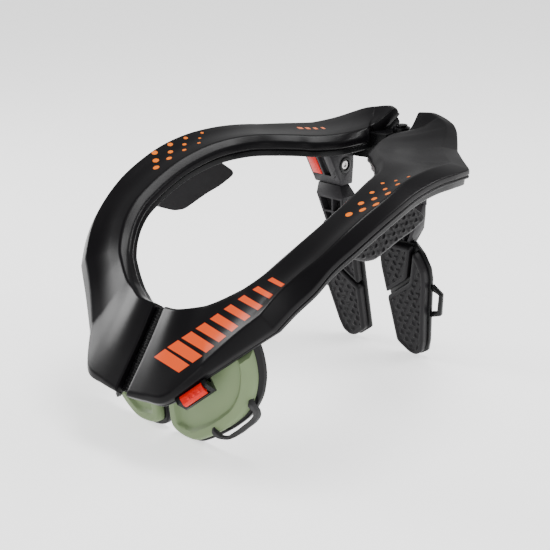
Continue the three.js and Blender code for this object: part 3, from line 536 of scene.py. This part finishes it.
# Columns: inner edge x, y, z and outer edge x, y, z as shares, then run, rise, lip and drop shares
collarRows = [
    [0.042, 0.117, 0.5, 0.042, 0.0, 0.218, 0.25, 0.125, 0.167, 0.5],
    [0.153, 0.113, 0.509, 0.183, 0.003, 0.225, 0.333, 0.188, 0.167, 0.5],
    [0.275, 0.131, 0.526, 0.328, 0.012, 0.237, 0.417, 0.312, 0.25, 0.5],
    [0.356, 0.142, 0.545, 0.489, 0.071, 0.336, 0.667, 0.375, 0.333, 0.667],
    [0.464, 0.165, 0.585, 0.649, 0.113, 0.427, 0.917, 0.625, 0.5, 0.833],
    [0.534, 0.184, 0.618, 0.813, 0.153, 0.52, 1.0, 0.875, 0.667, 1.0],
    [0.59, 0.208, 0.654, 0.87, 0.184, 0.586, 1.0, 1.0, 0.833, 1.0],
    [0.648, 0.242, 0.704, 0.927, 0.226, 0.649, 1.0, 1.0, 1.0, 1.0],
    [0.682, 0.283, 0.751, 0.955, 0.27, 0.712, 0.717, 0.75, 1.0, 1.0],
    [0.699, 0.333, 0.793, 0.985, 0.329, 0.768, 0.725, 0.875, 1.0, 1.0],
    [0.706, 0.392, 0.836, 0.998, 0.395, 0.818, 0.725, 0.912, 1.0, 1.0],
    [0.698, 0.451, 0.873, 1.0, 0.468, 0.863, 0.725, 0.85, 1.0, 1.0],
    [0.664, 0.525, 0.908, 0.982, 0.547, 0.895, 0.867, 0.8, 1.0, 1.0],
    [0.618, 0.585, 0.924, 0.961, 0.633, 0.91, 1.008, 0.65, 1.0, 1.0],
    [0.534, 0.632, 0.934, 0.944, 0.71, 0.91, 1.225, 0.5, 1.0, 1.0],
    [0.443, 0.665, 0.936, 0.916, 0.766, 0.906, 1.275, 0.362, 1.0, 1.0],
    [0.336, 0.706, 0.934, 0.774, 0.815, 0.915, 1.2, 0.287, 1.0, 1.0],
    [0.252, 0.736, 0.931, 0.614, 0.877, 0.919, 1.075, 0.275, 1.0, 1.0],
    [0.183, 0.78, 0.931, 0.518, 0.926, 0.933, 0.933, 0.388, 1.0, 1.0],
    [0.137, 0.825, 0.936, 0.427, 0.97, 0.952, 0.792, 0.588, 0.8, 1.0],
    [0.118, 0.875, 0.941, 0.363, 0.988, 0.972, 0.692, 0.55, 0.4, 1.0],
    [0.153, 0.902, 0.938, 0.29, 0.995, 0.987, 0.575, 0.45, 0.02, 0.7],
    [0.153, 0.904, 0.938, 0.185, 1.0, 0.999, 0.45, 0.388, 0.02, 0.6],
    [0.153, 0.907, 0.937, 0.095, 0.981, 1.0, 0.25, 0.188, 0.02, 0.5],
]


def unit(vectors):
    return vectors / np.maximum(np.linalg.norm(vectors, axis=-1, keepdims=True), 1e-9)


def collarStations():
    rows = np.array(collarRows)
    size = np.array([collar["halfWidth"], collar["length"], collar["height"]], float)
    inner = rows[:, 0:3] * size
    outer = rows[:, 3:6] * size
    shapeSizes = [collar[name] for name in ("bevelRun", "bevelRise", "innerLip", "innerLipDrop")]
    shape = rows[:, 6:10] * shapeSizes
    middle = (inner + outer) / 2
    across = unit(outer - inner)
    along = np.array([middle[min(i + 1, len(rows) - 1)] - middle[max(i - 1, 0)] for i in range(len(rows))])
    along = unit(along)
    along[0] = [1, 0, 0]
    out = unit(np.cross(along, across))
    out[out[:, 2] < 0] *= -1
    steps = [np.linalg.norm(np.diff(edge, axis=0), axis=1) for edge in (inner, outer)]
    edges = (steps[0] + steps[1]) / 2
    knots = np.r_[0, np.cumsum(edges)]
    pieces = [np.linspace(a, b, collar["stepsBetween"], endpoint=False) for a, b in zip(knots[:-1], knots[1:])]
    at = np.concatenate(pieces + [knots[-1:]])
    table = np.hstack([inner, outer, shape, along, out])
    hold = np.ones(table.shape)
    for row, share in collar["corners"].items():
        hold[row, 3:6] = share
    values = smoothThrough(table, knots, at, hold)
    inner, outer, shape = values[:, 0:3], values[:, 3:6], values[:, 6:10]
    across = unit(outer - inner)
    out = values[:, 13:16]
    out = unit(out - (out * across).sum(1, keepdims=True) * across)
    along = unit(values[:, 10:13])
    return {
        "inner": inner, "across": across, "out": out, "along": along,
        "span": np.linalg.norm(outer - inner, axis=1),
        "run": shape[:, 0], "rise": shape[:, 1], "lip": np.maximum(shape[:, 2], 0.05), "drop": shape[:, 3],
    }


stations = collarStations()


def sectionStack(corners):
    count = len(stations["span"])
    spread = lambda value: np.broadcast_to(np.array(value, float), count)
    return np.stack([np.stack([spread(a), spread(n)], -1) for a, n in corners], 1)


# Shrinks a ring towards its own inside by a distance, for rounding the ends of a loft
def shrinkRing(ring, distance):
    before = unit(ring - np.roll(ring, 1, axis=0))
    after = unit(np.roll(ring, -1, axis=0) - ring)
    direction = unit(before + after)
    turn = np.stack([-direction[:, 1], direction[:, 0]], 1)
    area = np.sum(ring[:, 0] * np.roll(ring[:, 1], -1) - np.roll(ring[:, 0], -1) * ring[:, 1])
    return ring + turn * distance * (1 if area > 0 else -1)


def collarLoft(sections, endRound=0.0, endExtra=(0.0, 0.0)):
    rings = list(sections)
    where = list(range(len(rings)))
    shift = [0.0] * len(rings)
    shift[0] = -endExtra[0]
    shift[-1] = endExtra[1]
    if endRound:
        soft = [(0.0, 0.8 * endRound), (0.25 * endRound, 0.3 * endRound), (0.8 * endRound, 0.0)]
        first = [(0, shrinkRing(rings[0], inset), push) for push, inset in soft]
        last = [(len(rings) - 1, shrinkRing(rings[-1], inset), -push) for push, inset in reversed(soft)]
        rings = [r for _, r, _ in first] + rings[1:-1] + [r for _, r, _ in last]
        where = [w for w, _, _ in first] + where[1:-1] + [w for w, _, _ in last]
        shift = [s for _, _, s in first] + shift[1:-1] + [s for _, _, s in last]
    points = []
    for ring, w, s in zip(rings, where, shift):
        base = stations["inner"][w] + stations["along"][w] * s
        points.append(base + ring[:, :1] * stations["across"][w] + ring[:, 1:] * stations["out"][w])
    return skinRings(toMetres(points))


def padSections():
    s = stations
    wall, inWall = collar["outerWall"], collar["innerWall"]
    corners = sectionStack([
        (0, 0), (s["span"] * 0.45, s["rise"] * 0.4 - collar["topDish"]), (s["span"] - s["run"], s["rise"]),
        (s["span"], 0), (s["span"] + 0.5, -4.0), (s["span"] - 0.4, -4.4), (s["span"] - 0.4, -5.1),
        (s["span"] + 0.4, -5.5), (s["span"] + 0.5, -wall), (s["span"] - collar["frameInset"], -wall - 1),
        (-s["lip"] * 0.4, -inWall), (-s["lip"], -inWall + 2), (-s["lip"], -s["drop"]),
    ])
    cuts = [2.0, 16, 1.6, 1.1, 0.5, 0.3, 0.3, 0.4, 0.5, 0.4, 0.8, 0.8, 2.0]
    return roundCorners(corners, cuts)


def frameSections():
    s = stations
    top = -collar["seatGap"]
    bottom = top - collar["frameThickness"]
    inWall, wall, inset = collar["innerWall"], collar["outerWall"], collar["frameInset"]
    corners = sectionStack([
        (-s["lip"] * 0.4, -inWall + top), (-s["lip"] * 0.4, -inWall + bottom),
        (s["span"] - inset, -wall - 1 + bottom), (s["span"] - inset, -wall - 1 + top),
    ])
    return roundCorners(corners, [0.5, 1.2, 1.2, 0.5])


# Everything from just under the frame upward, for seating what hangs below the collar
def seatSections():
    s = stations
    gap, inWall, inset = collar["seatGap"], collar["innerWall"], collar["frameInset"]
    under = -collar["frameThickness"] - 2.4 * gap
    slope = (inWall - collar["outerWall"] - 1) / (s["span"] - inset + s["lip"] * 0.4)
    level = lambda a: -inWall + under + slope * (a + s["lip"] * 0.4)
    high = collar["bevelRise"] * 2
    return sectionStack([
        (-s["lip"] - gap, level(-s["lip"])), (-s["lip"] * 0.4, level(-s["lip"] * 0.4)),
        (s["span"] - inset, level(s["span"] - inset)), (s["span"] + 1 + gap, level(s["span"])),
        (s["span"] + 1 + gap, high), (-s["lip"] - gap, high),
    ])


seatCutter = plainObject("seatCutter", *collarLoft(seatSections(), endExtra=(6.0, 0.3)))
for side, sign in sides.items():
    pad = addPiece(f"collarPad_{side}", *collarLoft(padSections(), collar["endRound"]), sign, bodies[side],
                   covers[side].material, "cover_black", [f"collar_pad_{side}"], 42)
    addPiece(f"collarFrame_{side}", *collarLoft(frameSections(), 0.4), sign, bodies[side],
             shell.material, "frame_black", [f"collar_frame_{side}"])
print("collar made")


# Chest pads, plates and webbing loops
chest = {
    "front": 44, "inner": 3, "width": 88, "height": 98, "lean": 0.15, "wrap": 22, "wrapFrom": 0.35,
    "wrapOver": 0.7, "middle": (50, 52), "cornerCut": 7, "plateEdge": 1.2, "plateThickness": 4,
    "plateRim": 3, "padThickness": 6, "bevel": 2.6, "rimWidth": 7.5, "dish": 3.4,
    "webThickness": 3.6, "webWidth": 4.4,
    "webPath": [(52.5, 22, 3.4), (54.5, 18.5, -0.9), (58, 14.6, -0.6), (61.5, 13.4, 2.5), (67.5, 17.6, 5.4),
                (74, 23.8, 5.7), (80.4, 30.4, 5.0), (84.6, 36.6, 2.5), (85.6, 41.5, 0.0), (84, 45.5, -1.0),
                (81.5, 48.5, 3.2)],
}
chestOutline = [
    (0.0, 0.1), (0.03, 0.04), (0.15, 0.0), (0.33, 0.0), (0.53, 0.1), (0.7, 0.21),
    (0.85, 0.34), (0.94, 0.5), (0.98, 0.67), (0.98, 0.83), (0.95, 1.0), (0.02, 1.0),
]


def chestPlace(x, z, d):
    wrap = np.maximum(0, (x / chest["width"] - chest["wrapFrom"]) / chest["wrapOver"])
    y = chest["front"] + chest["wrap"] * wrap ** 2 - chest["lean"] * z + d
    return toMetres(np.stack([x, y, z], -1))


def shrinkOutline(outline, distance):
    low, high = outline.min(0), outline.max(0)
    middle, half = (low + high) / 2, (high - low) / 2
    return middle + (outline - middle) * ((half - distance) / half)


tongue = {"from": 0.07, "to": 0.42, "room": 0.7, "deep": 6.1, "reach": 30}


# Room behind the chest pads for the tongue, and for its way out when the right half swings
def tongueCutter():
    s = {name: value[0] for name, value in stations.items()}
    slope = (collar["innerWall"] - collar["outerWall"] - 1) / s["span"]
    frameUnder = -collar["innerWall"] - collar["frameThickness"] - collar["seatGap"]
    under = lambda a, gap: frameUnder + slope * a - gap
    low, high = s["span"] * tongue["from"] - tongue["room"], s["span"] * tongue["to"] + tongue["room"]
    deep = tongue["deep"]
    ring = [(low, under(low, 0)), (high, under(high, 0)), (high, under(high, deep)), (low, under(low, deep))]
    rings = []
    for x in (-tongue["reach"], tongue["reach"]):
        base = np.array([x, s["inner"][1], s["inner"][2]])
        rings.append([base + a * s["across"] + n * s["out"] for a, n in ring])
    return plainObject("tongueCutter", *skinRings(toMetres(rings)))


tongueSpace = tongueCutter()
chestFull = np.array([(chest["inner"] + a * chest["width"], u * chest["height"]) for a, u in chestOutline])
chestSmooth = roundCorners(chestFull, chest["cornerCut"], 6)


def chestRelief(points, distance):
    dome = edgeFall(distance, chest["bevel"], chest["bevel"])
    dish = chest["dish"] * smoothStep(distance, chest["rimWidth"] - 0.5, chest["rimWidth"] + 3)
    return dome + dish


def makeChest():
    padOutline = shrinkOutline(chestSmooth, chest["plateRim"])
    thickness = chest["padThickness"]
    points, faces = reliefPad(padOutline, chest["middle"], chestRelief, thickness, chestPlace, 300, 40)
    pad = plainObject("chestPadRaw", points, faces)
    plateFront = chest["padThickness"] + collar["seatGap"]
    plateBack = plateFront + chest["plateThickness"]
    edge = chest["plateEdge"]
    plateRelief = lambda points, distance: plateFront + edgeFall(distance, edge, edge)
    points, faces = reliefPad(chestSmooth, chest["middle"], plateRelief, plateBack, chestPlace, 300, 8)
    plate = plainObject("chestPlateRaw", points, faces)
    for raw in (pad, plate):
        cutWith(raw, seatCutter)
        cutWith(raw, tongueSpace)
    return pad, plate


# Drops every loose scrap that a cut leaves, and keeps the largest body
def keepMain(mesh):
    work = bmesh.new()
    work.from_mesh(mesh)
    left, groups = set(work.verts), []
    while left:
        group, stack = set(), [next(iter(left))]
        while stack:
            vert = stack.pop()
            if vert in left:
                left.remove(vert)
                group.add(vert)
                stack.extend(edge.other_vert(vert) for edge in vert.link_edges)
        groups.append(group)
    groups.sort(key=len)
    for group in groups[:-1]:
        bmesh.ops.delete(work, geom=list(group), context="VERTS")
    work.to_mesh(mesh)
    work.free()


def mirrored(mesh, sign, name):
    copy = mesh.copy()
    copy.name = name
    if sign < 0:
        copy.transform(Matrix.Scale(-1, 4, (1, 0, 0)))
        copy.flip_normals()
    return copy


rawPad, rawPlate = makeChest()
for raw in (rawPad, rawPlate):
    keepMain(raw.data)


# A flat band swept along a path, thick in the pad's face and wide through its depth
def sweepBand(path, width, thickness, place, corner=0.8):
    path = np.array(path, float)
    lengths = np.r_[0, np.cumsum(np.linalg.norm(np.diff(path, axis=0), axis=1))]
    at = np.linspace(0, lengths[-1], max(24, int(lengths[-1] / 0.8)))
    line = smoothThrough(path, lengths, at)
    along = unit(np.gradient(line, axis=0))
    side = np.stack([along[:, 1], -along[:, 0]], 1)
    half, deep = thickness / 2, width / 2
    ring = roundCorners([(-half, -deep), (half, -deep), (half, deep), (-half, deep)], corner, 4)
    rings = []
    for p, s in zip(line, side):
        flat = p[None, :2] + ring[:, :1] * s
        rings.append(place(flat[:, 0], flat[:, 1], p[2] + ring[:, 1]))
    return skinRings(rings)


for side, sign in sides.items():
    pad = finishPiece(f"chestPad_{side}", mirrored(rawPad.data, sign, f"chestPad_{side}"), bodies[side],
                      greenFoam.material, "pad_green", [f"chest_pad_{side}"])
    finishPiece(f"chestPlate_{side}", mirrored(rawPlate.data, sign, f"chestPlate_{side}"), bodies[side],
                shell.material, "frame_black", [f"chest_plate_{side}"])
    points, faces = sweepBand(chest["webPath"], chest["webWidth"], chest["webThickness"], chestPlace)
    addPiece(f"chestLoop_{side}", points, faces, sign, bodies[side], webbing.material, "web_black",
             [f"chest_loop_{side}"])
for spare in (rawPad, rawPlate):
    bpy.data.objects.remove(spare)
print("chest pads made")


# Back pads with triangular bumps; the back plates and strap loops come with the hard parts below
back = {
    "lean": 15, "front": 303, "height": 110, "inner": 14.5, "width": 47, "padThickness": 7, "bevel": 2.2,
    "plateRim": 2, "groove": 3, "cornerCut": 3.0, "rimHeight": 1.0, "rimWidth": (3.2, 4.4), "bumpPitch": 7.4,
    "bumpSize": 1.8, "bumpHeight": 1.2, "bumpStart": (4.2, 5.4),
}
backOutline = [
    (0.09, 0.095), (0.35, 0.012), (0.5, 0.0), (0.65, 0.04), (0.72, 0.13), (0.83, 0.38),
    (0.99, 0.72), (0.99, 0.81), (0.9, 0.92), (0.76, 1.0), (0.04, 1.0), (0.0, 0.78),
]
grooveLine = [(0.04, 0.52), (0.6, 0.7), (0.8, 1.0)]


def backPlace(x, s, d):
    lean = math.radians(back["lean"])
    y = back["front"] - s * math.sin(lean) + d * math.cos(lean)
    return toMetres(np.stack([x, y, s * math.cos(lean) + d * math.sin(lean)], -1))


def backFace(shares):
    start = np.array([back["inner"], back["plateRim"]])
    return start + np.array(shares) * [back["width"], back["height"]]


def crossing(a, b, c, d):
    r, s = b - a, d - c
    t = ((c - a)[0] * s[1] - (c - a)[1] * s[0]) / (r[0] * s[1] - r[1] * s[0])
    return a + r * t


# The two pads on either side of the groove, as outlines
def backPadOutlines():
    full = backFace(backOutline)
    a, b, c = backFace(grooveLine)
    half = back["groove"] / 2
    side = lambda p, q: np.array([(q - p)[1], -(q - p)[0]]) / np.linalg.norm(q - p)
    n1, n2 = side(a, b), side(b, c)
    bendMain = crossing(a + n1 * half, b + n1 * half, b + n2 * half, c + n2 * half)
    bendUpper = crossing(a - n1 * half, b - n1 * half, b - n2 * half, c - n2 * half)
    leftEdge = (full[11], full[0])
    topEdge = (full[9], full[10])
    mainStart = crossing(a + n1 * half, b + n1 * half, *leftEdge)
    upperStart = crossing(a - n1 * half, b - n1 * half, *leftEdge)
    mainEnd = crossing(b + n2 * half, c + n2 * half, full[8], full[9])
    upperEnd = crossing(b - n2 * half, c - n2 * half, *topEdge)
    main = np.array([mainStart, *full[0:9], mainEnd, bendMain])
    upper = np.array([upperStart, bendUpper, upperEnd, full[10], full[11]])
    return main, upper


def backRelief(points, distance):
    rim = back["rimHeight"] * smoothStep(distance, *back["rimWidth"])
    bumps = triangleBumps(points - [0, 3], back["bumpPitch"], back["bumpSize"], back["bumpHeight"])
    bumps = bumps * smoothStep(distance, *back["bumpStart"])
    return edgeFall(distance, back["bevel"], back["bevel"]) + rim - bumps


mainOutline, upperOutline = backPadOutlines()
backCentre = backFace([(0.64, 0.48), (0.4, 0.82)])
for side, sign in sides.items():
    for part, outline, centre in zip(("Main", "Upper"), (mainOutline, upperOutline), backCentre):
        smooth = roundCorners(outline, back["cornerCut"], 5)
        points, faces = reliefPad(smooth, centre, backRelief, back["padThickness"], backPlace, 420, 64)
        pad = addPiece(f"backPad{part}_{side}", points, faces, sign, bodies[side], bumpRubber.material,
                       "pad_black", [f"back_pad_{part.lower()}_{side}"], 60)
print("back pads made")


# Shoulder pads
shoulder = {"outer": 118, "width": 26, "bottom": 140, "front": 123, "length": 86, "edge": 3.5,
            "middle": (165, 165), "cornerCut": 4, "faceInset": 1.1, "bumpPitch": 5.8, "bumpSize": 1.4,
            "bumpHeight": 1.1, "bumpStart": (1.5, 3)}
shoulderRows = [
    (0.0, 7.5), (0.2, 1), (0.33, 0), (0.64, 9), (0.81, 12.5), (1.0, 19), (1.0, 23), (0.83, 33), (0.7, 55),
    (0.0, 45),
]


def shoulderOutline():
    start = np.array([shoulder["front"], shoulder["bottom"]])
    return start + np.array(shoulderRows) * [shoulder["length"], 1]


def shoulderPlace(y, z, d):
    return toMetres(np.stack([shoulder["outer"] - d, y, z], -1))


def shoulderRelief(points, distance):
    bumps = triangleBumps(points, shoulder["bumpPitch"], shoulder["bumpSize"], shoulder["bumpHeight"])
    bumps = bumps * smoothStep(distance, *shoulder["bumpStart"])
    return shoulder["faceInset"] + edgeFall(distance, shoulder["edge"], shoulder["edge"] - 1) - bumps


shoulderSmooth = roundCorners(shoulderOutline(), shoulder["cornerCut"], 5)
points, faces = reliefPad(shoulderSmooth, shoulder["middle"], shoulderRelief, shoulder["width"], shoulderPlace,
                          420, 64)
rawShoulder = plainObject("shoulderRaw", points, faces)
cutWith(rawShoulder, seatCutter)
keepMain(rawShoulder.data)
for side, sign in sides.items():
    pad = finishPiece(f"shoulderPad_{side}", mirrored(rawShoulder.data, sign, f"shoulderPad_{side}"),
                      bodies[side], bumpRubber.material, "pad_black", [f"shoulder_pad_{side}"], 60)
bpy.data.objects.remove(rawShoulder)
print("shoulder pads made")


# Hard parts: the CAD shapes with their edges rounded over
hardParts = [
    {"node": "rear_bracket", "name": "rearBracket", "finish": greyPlastic, "slot": "plastic_grey",
     "round": 0.5},
    {"node": "angle_wedge", "name": "angleWedge", "finish": redPlastic, "slot": "signal_red", "round": 0.5},
    {"node": "bracket_screw", "name": "bracketScrew", "finish": steel, "slot": "screw_steel", "round": 0.3},
    {"node": "rear_strut", "name": "rearStrut", "finish": greyPlastic, "slot": "plastic_grey", "round": 0.5},
    {"node": "back_plate", "name": "backPlate", "finish": shell, "slot": "frame_black", "round": 1.0},
    {"node": "back_loop", "name": "backLoop", "finish": shell, "slot": "frame_black", "round": 0.9},
    {"node": "hinge_bridge", "name": "hingeBridge", "finish": shell, "slot": "frame_black", "round": 0.5},
]
frontKeyLook = {
    "half": 5.0, "flatHalf": 3.4, "chamfer": 1.2, "low": -3.6, "thick": 6.6, "ridge": 0.45, "pitch": 2.4,
    "stepsPerRidge": 8, "first": 1.4, "last": 2.4,
}
washer = {"outer": 7.2, "inner": 4.75, "proud": 0.5, "sunk": 0.6, "wall": 0.3, "outerRound": 0.2, "around": 48}
numeral = {"size": 9.0, "relief": 0.4, "y": 101.5, "z": 158.0}


# The strip in the front groove, with fine ridges across it
def frontKey(look):
    s = {name: value[0] for name, value in stations.items()}
    half, flat = look["half"], look["flatHalf"]
    bottom = look["low"] - look["thick"]
    rings = []
    for a in np.arange(look["first"], s["span"] - look["last"], look["pitch"] / look["stepsPerRidge"]):
        top = look["low"] + look["ridge"] * max(math.sin(a / look["pitch"] * math.tau), 0)
        shoulderTop = top - look["chamfer"]
        corners = [(-half, shoulderTop), (-flat, top), (flat, top), (half, shoulderTop),
                   (half, bottom), (-half, bottom)]
        base = np.array([0, s["inner"][1], s["inner"][2]]) + a * s["across"]
        rings.append([base + np.array([x, 0, 0]) + n * s["out"] for x, n in corners])
    points, faces = skinRings(toMetres(rings))
    addPiece("frontKey", points, faces, 1, "left_half", shell.material, "frame_black", ["front_key"], 50)


# The bracket's face towards the neck, as a place along X
def bracketFace(side):
    low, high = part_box(f"rear_bracket_{side}")
    return min(abs(low[0]), abs(high[0])) * sides[side]


# A black ring around each screw, standing a little proud of the bracket's inner face
def screwWasher(side):
    low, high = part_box(f"bracket_screw_{side}")
    middle = (Vector(low) + Vector(high)) / 2
    face, around, wall = bracketFace(side), washer["around"], washer["wall"]
    outer, inner, proud, sunk = washer["outer"], washer["inner"], washer["proud"], washer["sunk"]
    section = [(outer, -sunk), (outer, proud - washer["outerRound"]), (outer - wall, proud),
               (inner + wall, proud), (inner, proud - wall), (inner, -sunk)]
    turn = np.arange(around) / around * math.tau
    rings = []
    for radius, out in section:
        x = np.full(around, face - sides[side] * out * mm)
        y = middle.y + np.cos(turn) * radius * mm
        z = middle.z + np.sin(turn) * radius * mm
        rings.append(np.stack([x, y, z], 1))
    faces = []
    for r in range(len(rings)):
        for k in range(around):
            n, q = (k + 1) % around, (r + 1) % len(rings)
            faces.append((r * around + k, r * around + n, q * around + n, q * around + k))
    addPiece(f"screwWasher_{side}", np.vstack(rings), faces, 1, bodies[side], shell.material, "frame_black")


# A plain raised figure, sunk to half its depth in the bracket
def bracketNumeral(side):
    text = bpy.data.curves.new("numeral", "FONT")
    text.body = "5"
    text.size = numeral["size"] * mm
    text.extrude = numeral["relief"] * mm
    text.align_x = "CENTER"
    text.align_y = "CENTER"
    holder = bpy.data.objects.new("numeral", text)
    bpy.context.scene.collection.objects.link(holder)
    ready = holder.evaluated_get(bpy.context.evaluated_depsgraph_get())
    mesh = bpy.data.meshes.new_from_object(ready)
    bpy.data.objects.remove(holder)
    sign = sides[side]
    axes = Matrix(((0, 0, -sign), (-sign, 0, 0), (0, 1, 0))).to_4x4()
    mesh.transform(Matrix.Translation((bracketFace(side), numeral["y"] * mm, numeral["z"] * mm)) @ axes)
    finishPiece(f"bracketNumeral_{side}", mesh, bodies[side], greyPlastic.material, "plastic_grey", (), 30)


for part in hardParts:
    for side in sides:
        roundedCopy(f"{part['node']}_{side}", f"{part['name']}_{side}", bodies[side],
                    part["finish"].material, part["slot"], part["round"])
roundedCopy("hinge_pin", "hingePin", "left_half", shell.material, "frame_black", 0.3)
frontKey(frontKeyLook)
roundedCopy("front_tongue", "frontTongue", "right_half", shell.material, "frame_black", 0.4)
roundedCopy("release_lever", "releaseLever", "release", redPlastic.material, "signal_red", 0.6)
roundedCopy("release_housing", "releaseHousing", "left_half", shell.material, "frame_black", 0.4)
for side in sides:
    screwWasher(side)
    bracketNumeral(side)
print("hard parts made")

for spare in (seatCutter, tongueSpace):
    bpy.data.objects.remove(spare)


# Floor and sky
def makeStage():
    half = studio["floorSize"] / 2
    floor = plainObject("floor", [(-half, -half, 0), (half, -half, 0), (half, half, 0), (-half, half, 0)],
                        [(0, 1, 2, 3)])
    look = Finish("floorWhite")
    look.set(Base_Color=studio["floorColor"], Roughness=studio["floorRoughness"])
    look.set(Emission_Color=studio["floorColor"], Emission_Strength=studio["floorGlow"])
    floor.data.materials.append(look.material)
    world = bpy.data.worlds.new("studioSky")
    bpy.context.scene.world = world
    world.use_nodes = True
    sky = world.node_tree.nodes["Background"]
    sky.inputs["Color"].default_value = studio["skyColor"]
    sky.inputs["Strength"].default_value = studio["skyStrength"]


makeStage()
